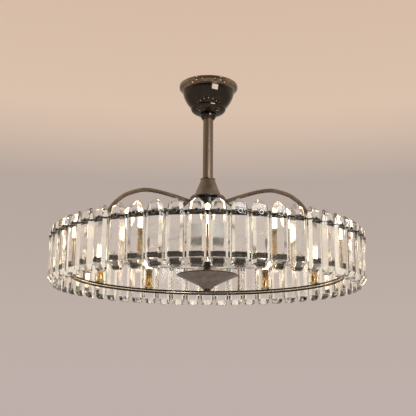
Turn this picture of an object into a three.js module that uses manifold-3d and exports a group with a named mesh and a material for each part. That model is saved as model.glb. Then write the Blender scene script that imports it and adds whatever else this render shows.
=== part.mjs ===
// Chandelier ceiling fan: upright crystals on a round frame hung from five arms, candle lamps on an
// inner ring, and a small fan with clear blades that turns inside. Millimetres, +Z up, and the ceiling
// is at Z = 0, so everything hangs at negative Z. The front of the fitting faces -Y.
import * as THREE from "three";
import { mergeVertices } from "three/addons/utils/BufferGeometryUtils.js";
import Module from "manifold-3d";

const wasm = await Module();
wasm.setup();

// Clearances and overruns
const touchGap = 0.3;
const cutOverrun = 2;
const weldTolerance = 0.001;

// Ceiling bracket
const plateLength = 118;
const plateWidth = 36;
const plateThickness = 3;
const strapWidth = 22;
const strapThickness = 3;
const seatHeight = 14;
const seatWall = 4;
const seatTilt = Math.PI / 6;
const plateHoleRadius = 3;
const plateHoleSpacing = 88;

// Hanger ball and its pin
const ballRadius = 25;
const ballDrop = 36;
const ballTopCut = 10;
const ballBottomCut = 19;
const hangerPinRadius = 3;
const hangerPinLength = 42;

// Downrod
const rodRadius = 13.5;
const rodWall = 2;
const rodAboveBall = 16;
const rodLength = 262;

// Canopy
const canopyRadius = 78.5;
const canopyRimHeight = 8.2;
const canopyWall = 1.6;
const canopyLedge = 8.6;
const canopyLedgeHeight = 9.2;
const canopyGrooveRadius = 47.5;
const canopyGrooveDrop = 61.6;
const canopyGrooveDepth = 1.2;
const canopyGrooveHeight = 2.4;
const canopyNeckRadius = 24;
const canopyHeight = 81;
const bowlPullShares = [0.19, 0.55];
const capPullShares = [0.02, 0.8];

// Lock collar under the canopy
const collarRadius = 21.5;
const collarFootRadius = 16;
const collarHeight = 14.5;

// Rod coupling, its pin and the cone that covers them
const couplingRadius = 16.8;
const couplingSocketDepth = 19;
const couplingPinRadius = 2.5;
const couplingPinLength = 31;
const shaftEntry = 18;
const coneTopRadius = 20;
const coneFootRadius = 38;
const coneHeight = 49;
const coneWall = 1.3;
const coneLipHeight = 2.5;
const coneLipWidth = 1.2;
const flarePullShares = [0.46, 0.54];

// Arm hub
const hubFlangeThickness = 2.4;
const hubRadius = 24;
const hubHeight = 22.5;

// Arms
const armCount = 5;
const armRadius = 5;
const armSocketDepth = 10;
const armBendRadius = 80;
const armBendFall = 18;
const armEndClearance = 1.8;
const armFirstAzimuth = 36;

// Crystal ring
const crystalsPerArm = 11;
const ringDrop = 438;
const ringApothem = 378;
const ringThickness = 5;
const ringHeight = 11;

// Crystals
const crystalWidth = 41;
const crystalDepth = 19;
const crystalHeadHeight = 29;
const crystalTailLength = 116;
const stripThickness = 1.2;
const stripHeight = 2.8;
const stripSink = 0.4;
const bankEndGap = 0.4;

// Screws that hold the crystals
const screwRadius = 1.9;
const screwHeadRadius = 3.6;
const screwHeadHeight = 2.2;
const screwSides = 4;
const screwHeadSides = 6;

// Lamp ring, its cups and its uprights
const lampInset = 35;
const lampRingThickness = 4;
const lampRingHeight = 12;
const lampRingFall = 83;
const lampCount = 12;
const cupRadius = 14;
const cupFootRadius = 8.4;
const cupHeight = 4.2;
const cupSink = 1;
const uprightCount = 4;
const uprightFirstAzimuth = -16;
const uprightRadius = 3;
const lugHeight = 6;
const lugWidth = 7;

// Candle sleeves and bulbs
const sleeveRadius = 10.4;
const sleeveHeight = 54;
const sleeveBoreRadius = 7.6;
const sleeveBoreDepth = 17;
const bulbHeight = 46;
const bulbRadius = 15.5;
const bulbBaseRadius = 7.2;
const bulbBaseLength = 14;

// Motor shaft, bearings and stator
const shaftRadius = 8;
const shaftStubRadius = 4;
const bearingRadius = 14;
const bearingHeight = 8;
const statorRadius = 44;
const statorCoreRadius = 26;
const statorHeight = 20;
const statorShoeDepth = 4.5;
const statorPoles = 9;
const statorSlotShare = 0.42;
const statorShoeShare = 0.86;

// Turning motor housing, magnets and blade carrier
const housingRadius = 54;
const housingWall = 3;
const housingHeight = 40;
const housingDropBelowHub = 50;
const bossWall = 4;
const magnetThickness = 5;
const magnetHeight = 24;
const carrierRadius = 62;
const carrierThickness = 6.7;

// Clear blades
const bladeCount = 4;
const bladeThickness = 3;
const bladeRootRadius = 24;
const bladeTipRadius = 288;
const bladeChord = 80;
const bladeRootChord = 27;
const bladePitch = Math.PI / 15;
const bladeFirstAzimuth = 45;

// Bottom dish, its cover and the finial
const dishRadius = 79;
const dishDropBelowRing = 79;
const dishHeight = 35;
const dishFootRadius = 12.5;
const dishWall = 1.8;
const dishSlantWall = 2.3;
const dishEdge = 1.1;
const dishCoverRise = 33;
const dishCoverNeckRadius = 10.5;
const finialRadius = 8.5;
const finialHeight = 8.5;
const stubLength = 6;

// Facets round each round piece
const shaftSides = 12;
const coarseSides = 16;
const midSides = 20;
const fineSides = 24;
const canopySides = 28;
const boreSides = 8;
const sleeveSides = 8;
const lampRingSides = 48;
const armSteps = 14;

// Heights worked out from the sizes above
const rodTop = rodAboveBall - ballDrop;
const rodFoot = rodTop - rodLength;
const couplingTop = rodFoot + couplingSocketDepth;
const coneTop = couplingTop + coneWall + touchGap;
const coneFoot = coneTop - coneHeight;
const hubTop = coneFoot - touchGap;
const hubFoot = hubTop - hubHeight;
const armRoot = hubTop - hubFlangeThickness - armRadius - 2 * touchGap;
const housingTop = hubFoot - housingDropBelowHub;
const housingFoot = housingTop - housingHeight;
const carrierFoot = housingFoot - touchGap - carrierThickness;
const shaftTop = coneFoot + shaftEntry;
const ringMiddle = -ringDrop;
const ringTop = ringMiddle + ringHeight / 2;
const lampRingRadius = ringApothem - lampInset;
const lampRingMiddle = ringMiddle - lampRingFall;
const lampRingTop = lampRingMiddle + lampRingHeight / 2;
const cupTop = lampRingTop + cupHeight;
const sleeveFoot = cupTop + touchGap;
const sleeveTop = sleeveFoot + sleeveHeight;
const dishRim = ringMiddle - dishDropBelowRing;
const dishFoot = dishRim - dishHeight;
const shaftFoot = dishFoot + dishWall + touchGap;

// Radii and counts worked out from the sizes above
const shaftBore = shaftRadius + touchGap;
const rodBore = rodRadius + touchGap;
const stripInner = ringApothem + touchGap;
const stripOuter = stripInner + stripThickness;
const crystalBack = stripOuter - stripSink;
const crystalFront = crystalBack + crystalDepth;
const crystalCount = armCount * crystalsPerArm;
const crystalPitch = (2 * Math.PI) / crystalCount;

// Materials
const finish = {
  gunmetal: { color: 0x4a4039, roughness: 0.25, metalness: 1 },
  black: { color: 0x17181a, roughness: 0.4, metalness: 0.6 },
  nickel: { color: 0xb9b4ab, roughness: 0.4, metalness: 0.8 },
  steel: { color: 0x9a9a98, roughness: 0.35, metalness: 1 },
  brass: { color: 0xc8a565, roughness: 0.25, metalness: 1 },
  copper: { color: 0xa86238, roughness: 0.5, metalness: 0.8 },
  magnet: { color: 0x33343a, roughness: 0.6, metalness: 0.5 },
  crystal: { color: 0xf2f4f6, roughness: 0.03, metalness: 0 },
  acrylic: { color: 0xe8eef2, roughness: 0.05, metalness: 0 },
  lamp: { color: 0xfff2d8, roughness: 0.2, metalness: 0 },
};

const fan = new THREE.Group();

function addPiece(name, geometry, look, azimuth = 0, parent = fan) {
  const mesh = new THREE.Mesh(geometry, new THREE.MeshStandardMaterial(finish[look]));
  mesh.name = name;
  mesh.rotation.z = azimuth;
  parent.add(mesh);
  return mesh;
}

// Azimuths are counted in degrees from the front (-Y) towards +X; pieces are drawn along +X.
function fromFront(degrees) {
  return THREE.MathUtils.degToRad(degrees) - Math.PI / 2;
}

// Closed meshes and booleans
function toSolid(geometry) {
  const bare = geometry.index ? geometry.toNonIndexed() : geometry.clone();
  bare.deleteAttribute("normal");
  bare.deleteAttribute("uv");
  const welded = mergeVertices(bare, weldTolerance);
  return new wasm.Manifold(
    new wasm.Mesh({
      numProp: 3,
      vertProperties: welded.attributes.position.array,
      triVerts: new Uint32Array(welded.index.array),
    }),
  );
}

function toGeometry(solid) {
  const { vertProperties, triVerts } = solid.getMesh();
  const geometry = new THREE.BufferGeometry();
  geometry.setAttribute("position", new THREE.BufferAttribute(vertProperties, 3));
  geometry.setIndex(new THREE.BufferAttribute(triVerts, 1));
  return geometry;
}

function joined(geometries) {
  return toGeometry(geometries.map(toSolid).reduce((sum, next) => sum.add(next)));
}

function cut(geometry, tools) {
  const start = toSolid(geometry);
  return toGeometry(tools.map(toSolid).reduce((left, tool) => left.subtract(tool), start));
}

// A closed profile of [radius, height] pairs, counter-clockwise, turned about Z
function turned(profile, sides) {
  const points = profile.map(([radius, height]) => new THREE.Vector2(radius, height));
  const last = points[points.length - 1];
  const onAxis = points[0].x === 0 && last.x === 0;
  if (!onAxis) points.push(points[0].clone());
  return new THREE.LatheGeometry(points, sides).rotateX(Math.PI / 2);
}

function tube(outer, inner, foot, top, sides) {
  return turned([[inner, foot], [outer, foot], [outer, top], [inner, top]], sides);
}

function disc(radius, foot, top, sides) {
  return turned([[0, foot], [radius, foot], [radius, top], [0, top]], sides);
}

// A rod along X between two distances from the axis, at a height
function radialRod(radius, inner, outer, height, sides) {
  const rod = new THREE.CylinderGeometry(radius, radius, outer - inner, sides);
  return rod.rotateZ(Math.PI / 2).translate((inner + outer) / 2, 0, height);
}

function block(lengthX, lengthY, lengthZ, x, y, z) {
  return new THREE.BoxGeometry(lengthX, lengthY, lengthZ).translate(x, y, z);
}

// A skin over rings of points that all have the same count, with flat ends
function lofted(rings) {
  const sides = rings[0].length;
  const positions = rings.flat().flatMap((point) => [point.x, point.y, point.z]);
  const index = [];
  for (let ring = 0; ring + 1 < rings.length; ring++) {
    for (let side = 0; side < sides; side++) {
      const here = ring * sides + side;
      const beside = ring * sides + ((side + 1) % sides);
      index.push(here, beside, beside + sides, here, beside + sides, here + sides);
    }
  }
  const lastRing = (rings.length - 1) * sides;
  for (let side = 1; side + 1 < sides; side++) {
    index.push(0, side + 1, side);
    index.push(lastRing, lastRing + side, lastRing + side + 1);
  }
  const geometry = new THREE.BufferGeometry();
  geometry.setAttribute("position", new THREE.Float32BufferAttribute(positions, 3));
  geometry.setIndex(index);
  return geometry;
}

// A bowed line between two profile points, by the share of the way that its middle is pulled
function bowed(start, end, pull, steps) {
  const middle = [
    start[0] + (end[0] - start[0]) * pull[0],
    start[1] + (end[1] - start[1]) * pull[1],
  ];
  const curve = new THREE.QuadraticBezierCurve(
    new THREE.Vector2(...start),
    new THREE.Vector2(...middle),
    new THREE.Vector2(...end),
  );
  return curve.getPoints(steps).map((point) => [point.x, point.y]);
}

// Ceiling bracket: a screwed plate with two straps that carry a conical seat for the ball
function ceilingBracket() {
  const seatTop = -ballDrop - (ballRadius * Math.sin(seatTilt)) + seatHeight / 2;
  const seatFoot = seatTop - seatHeight;
  const seatRadiusAt = (height) => {
    const belowBall = -ballDrop - height;
    return (ballRadius + touchGap - belowBall * Math.sin(seatTilt)) / Math.cos(seatTilt);
  };
  const seatOuter = seatRadiusAt(seatTop) + seatWall;
  const seat = turned(
    [
      [seatRadiusAt(seatFoot), seatFoot],
      [seatOuter, seatFoot],
      [seatOuter, seatTop],
      [seatRadiusAt(seatTop), seatTop],
    ],
    midSides,
  );
  const plate = block(plateLength, plateWidth, plateThickness, 0, 0, -plateThickness / 2);
  const strapLength = -seatFoot;
  const straps = [-1, 1].map((side) =>
    block(strapThickness, strapWidth, strapLength, side * seatOuter, 0, seatFoot / 2),
  );
  const holes = [-1, 1].map((side) =>
    disc(plateHoleRadius, -plateThickness - cutOverrun, cutOverrun, boreSides)
      .translate((side * plateHoleSpacing) / 2, 0, 0),
  );
  return cut(joined([plate, seat, ...straps]), holes);
}

function hangerBall() {
  const top = ballTopCut;
  const foot = -ballBottomCut;
  const steps = 6;
  const outline = [];
  for (let step = 0; step <= steps; step++) {
    const from = Math.asin(foot / ballRadius);
    const to = Math.asin(top / ballRadius);
    const angle = from + ((to - from) * step) / steps;
    outline.push([ballRadius * Math.cos(angle), ballRadius * Math.sin(angle) - ballDrop]);
  }
  const ball = turned([[rodBore, foot - ballDrop], ...outline, [rodBore, top - ballDrop]], coarseSides);
  const reach = ballRadius + cutOverrun;
  return cut(ball, [radialRod(hangerPinRadius + touchGap, -reach, reach, -ballDrop, boreSides)]);
}

function downrod() {
  const rod = tube(rodRadius, rodRadius - rodWall, rodFoot, rodTop, coarseSides);
  const reach = rodRadius + cutOverrun;
  const pinHeight = couplingPinHeight();
  return cut(rod, [
    radialRod(hangerPinRadius + touchGap, -reach, reach, -ballDrop, boreSides),
    radialRod(couplingPinRadius + touchGap, -reach, reach, pinHeight, boreSides),
  ]);
}

function couplingPinHeight() {
  return rodFoot + couplingSocketDepth / 2;
}

function canopyOutline(inset) {
  const bowlSteps = 4;
  const capSteps = 2;
  const rim = canopyRadius - inset;
  const ledge = canopyRadius - canopyLedge - inset;
  const ledgeFoot = -canopyRimHeight - canopyLedgeHeight + inset;
  const groove = canopyGrooveRadius - inset;
  const bowl = bowed([ledge, ledgeFoot], [groove, -canopyGrooveDrop + inset], bowlPullShares, bowlSteps);
  const capTop = -canopyGrooveDrop - canopyGrooveHeight + inset;
  const neck = [canopyNeckRadius - inset, -canopyHeight + inset];
  const cap = bowed([groove, capTop], neck, capPullShares, capSteps);
  return { rim, bowl, cap };
}

function canopy() {
  const outer = canopyOutline(0);
  const inner = canopyOutline(canopyWall);
  const grooveFloor = canopyGrooveRadius - canopyGrooveDepth;
  const grooveMiddle = -canopyGrooveDrop - canopyGrooveHeight / 2;
  const wall = canopyWall;
  const outside = [
    [outer.rim, 0],
    [outer.rim, -canopyRimHeight],
    ...outer.bowl,
    [grooveFloor, grooveMiddle],
    ...outer.cap,
    [rodBore, -canopyHeight],
  ];
  const inside = [
    [inner.rim, 0],
    [inner.rim, -canopyRimHeight + wall],
    ...inner.bowl,
    ...inner.cap.slice(1),
    [rodBore, -canopyHeight + wall],
  ];
  return turned([...inside, ...outside.reverse()], canopySides);
}

function lockCollar() {
  const top = -canopyHeight - touchGap;
  const foot = top - collarHeight;
  return turned(
    [
      [rodBore, foot],
      [collarFootRadius, foot],
      [collarRadius, foot + collarHeight / 2],
      [collarRadius, top],
      [rodBore, top],
    ],
    coarseSides,
  );
}

function couplingCover() {
  const steps = 3;
  const lipTop = coneTop;
  const lipFoot = coneTop - coneLipHeight;
  const waist = coneTopRadius - coneLipWidth;
  const flare = bowed([waist, lipFoot], [coneFootRadius, coneFoot], flarePullShares, steps);
  const inner = flare.map(([radius, height]) => [radius - coneWall, height]);
  const ceiling = lipTop - coneWall;
  return turned(
    [
      [rodBore, ceiling],
      [waist - coneWall, ceiling],
      ...inner,
      ...flare.reverse(),
      [coneTopRadius, lipFoot],
      [coneTopRadius, lipTop],
      [rodBore, lipTop],
    ],
    midSides,
  );
}

function rodCoupling() {
  const body = disc(couplingRadius, coneFoot, couplingTop, coarseSides);
  const socket = disc(rodBore, rodFoot - touchGap, couplingTop + cutOverrun, coarseSides);
  const shaftHole = disc(shaftBore, coneFoot - cutOverrun, shaftTop + touchGap, coarseSides);
  const reach = couplingRadius + cutOverrun;
  const pinHole = radialRod(
    couplingPinRadius + touchGap, -reach, reach, couplingPinHeight(), boreSides,
  );
  return cut(body, [socket, shaftHole, pinHole]);
}

function armHub() {
  const flangeFoot = hubTop - hubFlangeThickness;
  const hub = turned(
    [
      [shaftBore, hubFoot],
      [hubRadius, hubFoot],
      [hubRadius, flangeFoot],
      [coneFootRadius, flangeFoot],
      [coneFootRadius, hubTop],
      [shaftBore, hubTop],
    ],
    midSides,
  );
  const sockets = [];
  for (let arm = 0; arm < armCount; arm++) {
    const floor = hubRadius - armSocketDepth - touchGap;
    const socket = radialRod(armRadius + touchGap, floor, hubRadius + cutOverrun, armRoot, boreSides);
    sockets.push(socket.rotateZ(armAzimuth(arm)));
  }
  return cut(hub, sockets);
}

function armAzimuth(arm) {
  return fromFront(armFirstAzimuth + (arm * 360) / armCount);
}

// The arm runs out of the hub, dips to a bend, runs level and curls down onto the ring. Its run and
// fall past the bend are shares of the way from the bend to the ring.
const armRunShares = [0.17, 0.41, 0.58, 0.7, 0.8, 0.885, 0.945, 0.982, 1];
const armLevelShare = 0.6;
const armDipShare = 0.42;
const armFallShares = [0.002, 0.02, 0.085, 0.205, 0.345, 0.525, 0.7, 0.86, 1];

function armPath() {
  const start = hubRadius - armSocketDepth;
  const bendHeight = armRoot - armBendFall;
  const end = ringApothem - ringThickness / 2 - armEndClearance;
  const foot = ringTop + touchGap;
  const level = start + (armBendRadius - start) * armLevelShare;
  const points = [
    new THREE.Vector3(start, 0, armRoot),
    new THREE.Vector3((start + level) / 2, 0, armRoot),
    new THREE.Vector3(level, 0, armRoot),
    new THREE.Vector3((level + armBendRadius) / 2, 0, armRoot - armBendFall * armDipShare),
    new THREE.Vector3(armBendRadius, 0, bendHeight),
  ];
  armRunShares.forEach((run, i) => {
    const radius = armBendRadius + (end - armBendRadius) * run;
    const height = bendHeight + (foot - bendHeight) * armFallShares[i];
    points.push(new THREE.Vector3(radius, 0, height));
  });
  return new THREE.CatmullRomCurve3(points);
}

function arm() {
  const section = new THREE.Shape(polygon(boreSides, armRadius));
  return new THREE.ExtrudeGeometry(section, { steps: armSteps, extrudePath: armPath() });
}

function polygon(sides, radius, turn = 0) {
  const points = [];
  for (let side = 0; side < sides; side++) {
    const angle = (2 * Math.PI * side) / sides + turn;
    points.push(new THREE.Vector2(radius * Math.cos(angle), radius * Math.sin(angle)));
  }
  return points;
}

// Crystal ring: a flat-sided band, one flat for each crystal, with a headed screw on each flat
function crystalRing() {
  const cornerShare = 1 / Math.cos(crystalPitch / 2);
  const outline = new THREE.Shape(polygon(crystalCount, ringApothem * cornerShare, crystalPitch / 2));
  const innerRadius = (ringApothem - ringThickness) * cornerShare;
  outline.holes.push(new THREE.Path(polygon(crystalCount, innerRadius, crystalPitch / 2)));
  const band = new THREE.ExtrudeGeometry(outline, { depth: ringHeight, bevelEnabled: false });
  band.translate(0, 0, ringMiddle - ringHeight / 2);
  const shankStart = ringApothem - ringThickness / 2;
  const headStart = crystalFront + touchGap;
  const shank = radialRod(screwRadius, shankStart, headStart + screwHeadHeight / 2, ringMiddle, screwSides);
  const headEnd = headStart + screwHeadHeight;
  const head = radialRod(screwHeadRadius, headStart, headEnd, ringMiddle, screwHeadSides);
  const screw = joined([shank, head]);
  const screws = [];
  for (let crystal = 0; crystal < crystalCount; crystal++) {
    screws.push(screw.clone().rotateZ(crystal * crystalPitch));
  }
  return joined([band, ...screws]);
}

// A crystal: six-sided and flat behind, its front bevelled back to a small flat at both ends. Heights
// are shares of its head and tail lengths, widths and depths are shares of the full section.
const headHeightShares = [1, 0.62, 0.2, -0.2];
const headWidthShares = [0.2, 0.73, 0.86, 1];
const headDepthShares = [0.3, 1, 1, 1];
const tailHeightShares = [0.855, 0.91, 0.97, 1];
const tailWidthShares = [1, 0.8, 0.76, 0.5];
const tailDepthShares = [1, 0.765, 0.51, 0.38];
const crystalFlatShare = 0.46;

function crystalSection(widthShare, depthShare, height) {
  const side = (crystalWidth / 2) * widthShare;
  const flat = side * crystalFlatShare;
  const front = crystalBack + crystalDepth * depthShare;
  const middle = (crystalBack + front) / 2;
  return [
    new THREE.Vector3(middle, side, height),
    new THREE.Vector3(crystalBack, flat, height),
    new THREE.Vector3(crystalBack, -flat, height),
    new THREE.Vector3(middle, -side, height),
    new THREE.Vector3(front, -flat, height),
    new THREE.Vector3(front, flat, height),
  ];
}

function crystal() {
  const head = headHeightShares.map((share, i) =>
    crystalSection(headWidthShares[i], headDepthShares[i], ringMiddle + crystalHeadHeight * share),
  );
  const tail = tailHeightShares.map((share, i) =>
    crystalSection(tailWidthShares[i], tailDepthShares[i], ringMiddle - crystalTailLength * share),
  );
  const hole = radialRod(
    screwRadius + touchGap, crystalBack - cutOverrun, crystalFront + cutOverrun, ringMiddle, screwSides,
  );
  return cut(lofted([...head, ...tail].reverse()), [hole]);
}

// A bank of crystals: those of one arm, held side by side by the clear strip behind them
function crystalBank() {
  const one = crystal();
  const pieces = [];
  for (let step = 0; step < crystalsPerArm; step++) {
    const turn = (step - (crystalsPerArm - 1) / 2) * crystalPitch;
    pieces.push(one.clone().rotateZ(turn));
  }
  return joined([strip(), ...pieces]);
}

function strip() {
  const corner = 1 / Math.cos(crystalPitch / 2);
  const inside = [];
  const outside = [];
  for (let step = 0; step <= crystalsPerArm; step++) {
    const atEnd = step === 0 || step === crystalsPerArm;
    const endGap = atEnd ? bankEndGap / stripInner : 0;
    const side = Math.sign(step - crystalsPerArm / 2);
    const angle = (step - crystalsPerArm / 2) * crystalPitch - side * endGap;
    inside.push(new THREE.Vector2(Math.cos(angle), Math.sin(angle)).multiplyScalar(stripInner * corner));
    outside.push(new THREE.Vector2(Math.cos(angle), Math.sin(angle)).multiplyScalar(stripOuter * corner));
  }
  const outline = new THREE.Shape([...outside, ...inside.reverse()]);
  const band = new THREE.ExtrudeGeometry(outline, { depth: stripHeight, bevelEnabled: false });
  return band.translate(0, 0, ringMiddle - ringHeight / 2);
}

// Lamp ring: a flat band with a cup under each candle and four uprights that reach the crystal ring
function lampRing() {
  const half = lampRingThickness / 2;
  const band = tube(
    lampRingRadius + half, lampRingRadius - half, lampRingTop - lampRingHeight, lampRingTop, lampRingSides,
  );
  const pieces = [band];
  for (let lamp = 0; lamp < lampCount; lamp++) {
    const cup = turned(
      [
        [0, lampRingTop - cupSink],
        [cupFootRadius, lampRingTop - cupSink],
        [cupRadius, cupTop],
        [0, cupTop],
      ],
      sleeveSides,
    );
    pieces.push(cup.translate(lampRingRadius, 0, 0).rotateZ(lampAzimuth(lamp)));
  }
  for (let upright = 0; upright < uprightCount; upright++) {
    const turn = fromFront(uprightFirstAzimuth + (upright * 360) / uprightCount);
    const foot = lampRingTop - lampRingHeight / 2;
    const post = disc(uprightRadius, foot, ringMiddle + lugHeight / 2, boreSides);
    post.translate(lampRingRadius, 0, 0).rotateZ(turn);
    const reach = (ringApothem - ringThickness) * Math.cos(crystalPitch / 2) - touchGap;
    const lugLength = reach - lampRingRadius;
    const lug = block(
      lugLength, lugWidth, lugHeight, lampRingRadius + lugLength / 2, 0, ringMiddle,
    );
    pieces.push(post, lug.rotateZ(turn));
  }
  return joined(pieces);
}

function lampAzimuth(lamp) {
  return fromFront((lamp * 360) / lampCount);
}

function candleSleeve() {
  const floor = sleeveTop - sleeveBoreDepth;
  return turned(
    [
      [0, sleeveFoot],
      [sleeveRadius, sleeveFoot],
      [sleeveRadius, sleeveTop],
      [sleeveBoreRadius, sleeveTop],
      [sleeveBoreRadius, floor],
      [0, floor],
    ],
    sleeveSides,
  );
}

// Bulb: heights are shares of its height above the sleeve, radii are shares of its widest radius
const bulbHeightShares = [0, 0.2, 0.46, 0.74, 0.93];
const bulbRadiusShares = [0.6, 0.88, 1, 0.74, 0.32];

function bulb() {
  const seat = sleeveTop + touchGap;
  const glass = bulbHeightShares.map((share, i) => [
    bulbRadius * bulbRadiusShares[i],
    seat + bulbHeight * share,
  ]);
  return turned(
    [
      [0, seat - bulbBaseLength],
      [bulbBaseRadius, seat - bulbBaseLength],
      [bulbBaseRadius, seat],
      ...glass,
      [0, seat + bulbHeight],
    ],
    sleeveSides,
  );
}

function motorShaft() {
  const stubFoot = dishFoot - stubLength;
  return turned(
    [
      [0, stubFoot],
      [shaftStubRadius, stubFoot],
      [shaftStubRadius, shaftFoot],
      [shaftRadius, shaftFoot],
      [shaftRadius, shaftTop],
      [0, shaftTop],
    ],
    shaftSides,
  );
}

function bearing(top) {
  return tube(bearingRadius, shaftBore, top - bearingHeight, top, shaftSides);
}

// Stator: a core with wound poles that end in wide shoes
function stator() {
  const polePitch = (2 * Math.PI) / statorPoles;
  const shoeInner = statorRadius - statorShoeDepth;
  const outline = [];
  for (let pole = 0; pole < statorPoles; pole++) {
    const middle = pole * polePitch;
    const neck = (polePitch / 2) * (1 - statorSlotShare);
    const shoe = (polePitch / 2) * statorShoeShare;
    const corners = [
      [statorCoreRadius, -neck],
      [shoeInner, -neck],
      [shoeInner, -shoe],
      [statorRadius, -shoe],
      [statorRadius, shoe],
      [shoeInner, shoe],
      [shoeInner, neck],
      [statorCoreRadius, neck],
    ];
    corners.forEach(([radius, angle]) => {
      outline.push(
        new THREE.Vector2(radius * Math.cos(middle + angle), radius * Math.sin(middle + angle)),
      );
    });
  }
  const shape = new THREE.Shape(outline);
  shape.holes.push(new THREE.Path(polygon(shaftSides, shaftBore)));
  const top = (housingTop + housingFoot + statorHeight) / 2;
  const core = new THREE.ExtrudeGeometry(shape, { depth: statorHeight, bevelEnabled: false });
  return core.translate(0, 0, top - statorHeight);
}

// Turning housing: a cup that is open below, with a boss round the upper bearing
function motorHousing() {
  const roof = housingTop - housingWall;
  const bossFoot = housingTop - bearingHeight;
  const bearingSeat = bearingRadius + touchGap;
  return turned(
    [
      [bearingSeat, bossFoot],
      [bearingSeat + bossWall, bossFoot],
      [bearingSeat + bossWall, roof],
      [housingRadius - housingWall, roof],
      [housingRadius - housingWall, housingFoot],
      [housingRadius, housingFoot],
      [housingRadius, housingTop],
      [bearingSeat, housingTop],
    ],
    fineSides,
  );
}

function magnetRing() {
  const outer = housingRadius - housingWall - touchGap;
  const middle = (housingTop + housingFoot) / 2;
  const foot = middle - magnetHeight / 2;
  return tube(outer, outer - magnetThickness, foot, foot + magnetHeight, fineSides);
}

// Blade carrier: closes the housing from below and holds the lower bearing
function bladeCarrier() {
  const bearingSeat = bearingRadius + touchGap;
  const carrierTop = housingFoot - touchGap;
  const bossTop = carrierFoot + bearingHeight;
  return turned(
    [
      [bearingSeat, carrierFoot],
      [carrierRadius, carrierFoot],
      [carrierRadius, carrierTop],
      [bearingSeat + bossWall, carrierTop],
      [bearingSeat + bossWall, bossTop],
      [bearingSeat, bossTop],
    ],
    fineSides,
  );
}

// Blade: flat under the carrier, then twisting to its pitch. Places are shares of the blade's length
// past the carrier, chords and pitches are shares of the full ones.
const bladePlaceShares = [0, 0.16, 0.4, 0.7, 0.93, 1];
const bladeChordShares = [0.56, 0.72, 0.96, 1, 0.9, 0.62];
const bladePitchShares = [0, 0.8, 1, 0.95, 0.85, 0.82];

function blade() {
  const top = carrierFoot - touchGap;
  const section = (radius, chord, pitch) => {
    const half = chord / 2;
    const middle = top - bladeThickness / 2;
    const thick = bladeThickness / 2;
    const corners = [[-half, -thick], [half, -thick], [half, thick], [-half, thick]];
    return corners.map(([across, up]) => {
      const y = across * Math.cos(pitch) - up * Math.sin(pitch);
      const z = across * Math.sin(pitch) + up * Math.cos(pitch);
      return new THREE.Vector3(radius, y, middle + z);
    });
  };
  const rings = [section(bladeRootRadius, bladeRootChord, 0)];
  const run = bladeTipRadius - carrierRadius;
  bladePlaceShares.forEach((place, i) => {
    const radius = carrierRadius + run * place;
    rings.push(section(radius, bladeChord * bladeChordShares[i], bladePitch * bladePitchShares[i]));
  });
  return lofted(rings);
}

// Bottom dish: a trumpet that sweeps down to a small foot
const dishRadiusShares = [0.72, 0.45, 0.25];
const dishDropShares = [0.29, 0.56, 0.8];

function dish() {
  const sweep = dishRadiusShares.map((share, i) => [
    dishRadius * share,
    dishRim - dishHeight * dishDropShares[i],
  ]);
  const outside = [[dishRadius, dishRim], ...sweep, [dishFootRadius, dishFoot]];
  const inside = outside.slice(1, -1).map(([radius, height]) => [radius, height + dishSlantWall]);
  const stubHole = shaftStubRadius + touchGap;
  return turned(
    [
      [stubHole, dishFoot],
      ...[...outside].reverse(),
      [dishRadius - dishWall, dishRim + dishEdge],
      ...inside,
      [dishFootRadius - dishWall / 2, dishFoot + dishWall],
      [stubHole, dishFoot + dishWall],
    ],
    fineSides,
  );
}

// Dish cover: the same sweep upwards, to a neck round the shaft
const coverRadiusShares = [0.72, 0.34, 0.19];
const coverRiseShares = [0.16, 0.5, 0.78];

function dishCover() {
  const foot = dishRim + dishEdge + touchGap;
  const top = foot + dishCoverRise;
  const sweep = coverRadiusShares.map((share, i) => [
    dishRadius * share,
    foot + dishCoverRise * coverRiseShares[i],
  ]);
  const edge = dishRadius - dishWall;
  const outside = [[edge, foot + dishEdge], ...sweep, [dishCoverNeckRadius, top]];
  const inside = [...sweep].reverse().map(([radius, height]) => [radius, height - dishSlantWall]);
  return turned(
    [
      [shaftBore, top - dishWall],
      ...inside,
      [edge - dishWall, foot],
      [edge, foot],
      ...outside,
      [shaftBore, top],
    ],
    fineSides,
  );
}

const finialRadiusShares = [0.45, 0.85, 1, 0.8];
const finialRiseShares = [0, 0.25, 0.6, 1];

function finial() {
  const top = dishFoot - touchGap;
  const foot = top - finialHeight;
  const bore = shaftStubRadius + touchGap;
  const boreFloor = dishFoot - stubLength - touchGap;
  const outside = finialRadiusShares.map((share, i) => [
    finialRadius * share,
    foot + finialHeight * finialRiseShares[i],
  ]);
  return turned(
    [
      [0, foot],
      ...outside,
      [bore, top],
      [bore, boreFloor],
      [0, boreFloor],
    ],
    shaftSides,
  );
}

// The fitting, from the ceiling down
addPiece("ceiling_bracket", ceilingBracket(), "steel");
addPiece("hanger_ball", hangerBall(), "black");
const hangerPin = radialRod(
  hangerPinRadius, -hangerPinLength / 2, hangerPinLength / 2, -ballDrop, boreSides,
);
addPiece("hanger_pin", hangerPin, "steel");
addPiece("downrod", downrod(), "gunmetal");
addPiece("canopy", canopy(), "gunmetal");
addPiece("lock_collar", lockCollar(), "gunmetal");
addPiece("coupling_cover", couplingCover(), "gunmetal");
addPiece("rod_coupling", rodCoupling(), "steel");
const couplingPin = radialRod(
  couplingPinRadius, -couplingPinLength / 2, couplingPinLength / 2, couplingPinHeight(), boreSides,
);
addPiece("coupling_pin", couplingPin, "steel");
addPiece("arm_hub", armHub(), "black");

const armGeometry = arm();
const bankGeometry = crystalBank();
for (let number = 0; number < armCount; number++) {
  addPiece(`arm_${number + 1}`, armGeometry.clone(), "gunmetal", armAzimuth(number));
  addPiece(`crystal_bank_${number + 1}`, bankGeometry.clone(), "crystal", armAzimuth(number));
}
addPiece("crystal_ring", crystalRing(), "gunmetal", armAzimuth(0));

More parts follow.
